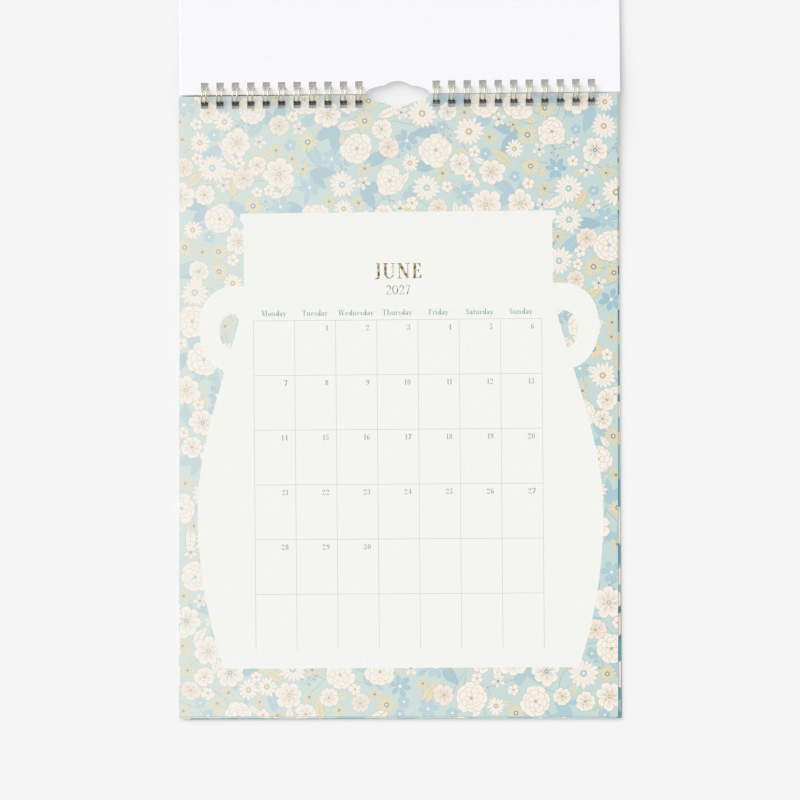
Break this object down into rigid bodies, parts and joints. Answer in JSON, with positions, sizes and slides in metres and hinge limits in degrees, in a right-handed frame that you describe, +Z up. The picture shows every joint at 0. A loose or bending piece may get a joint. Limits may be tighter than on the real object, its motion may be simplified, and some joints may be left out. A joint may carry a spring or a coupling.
{
  "type": "wall calendar",
  "caption": "Wall calendar on two twin-loop wire combs, open and flat: turned sheets above the binding, the leaf on show and the sheets to come below it, each turning about the wire.",
  "frame": {"origin": "on the surface that the calendar lies on, under the middle of the binding", "axes": "+X to the right along the binding, +Y up the page towards the turned sheets, +Z up from the surface"},
  "size_m": [0.24, 0.6804, 0.0097],
  "materials": {
    "board": "uncoated solid board",
    "wire": "champagne gold coated steel wire, satin",
    "cover": "matt coated card",
    "leaf": "matt uncoated paper",
    "printed_leaf": "matt printed paper with gold foil"
  },
  "bodies": {
    "base": {"backing_board": "board", "binding_wire_left": "wire", "binding_wire_right": "wire"},
    "front_cover": {"front_cover": "cover"},
    "turned_leaves": {"turned_leaves": "leaf"},
    "coming_leaves": {"coming_leaves": "leaf"},
    "month_leaf": {"month_leaf": "printed_leaf"}
  },
  "joints": [
    {"name": "cover_turn", "type": "hinge", "parent": "base", "child": "front_cover", "pos_m": [0, 0, 0.00488], "axis": [1, 0, 0], "range_deg": [0, 180]},
    {"name": "turned_leaves_turn", "type": "hinge", "parent": "front_cover", "child": "turned_leaves", "pos_m": [0, 0, 0.00488], "axis": [1, 0, 0], "range_deg": [0, 180]},
    {"name": "coming_leaves_turn", "type": "hinge", "parent": "base", "child": "coming_leaves", "pos_m": [0, 0, 0.00488], "axis": [-1, 0, 0], "range_deg": [0, 180]},
    {"name": "month_leaf_turn", "type": "hinge", "parent": "coming_leaves", "child": "month_leaf", "pos_m": [0, 0, 0.00488], "axis": [-1, 0, 0], "range_deg": [0, 180]}
  ]
}
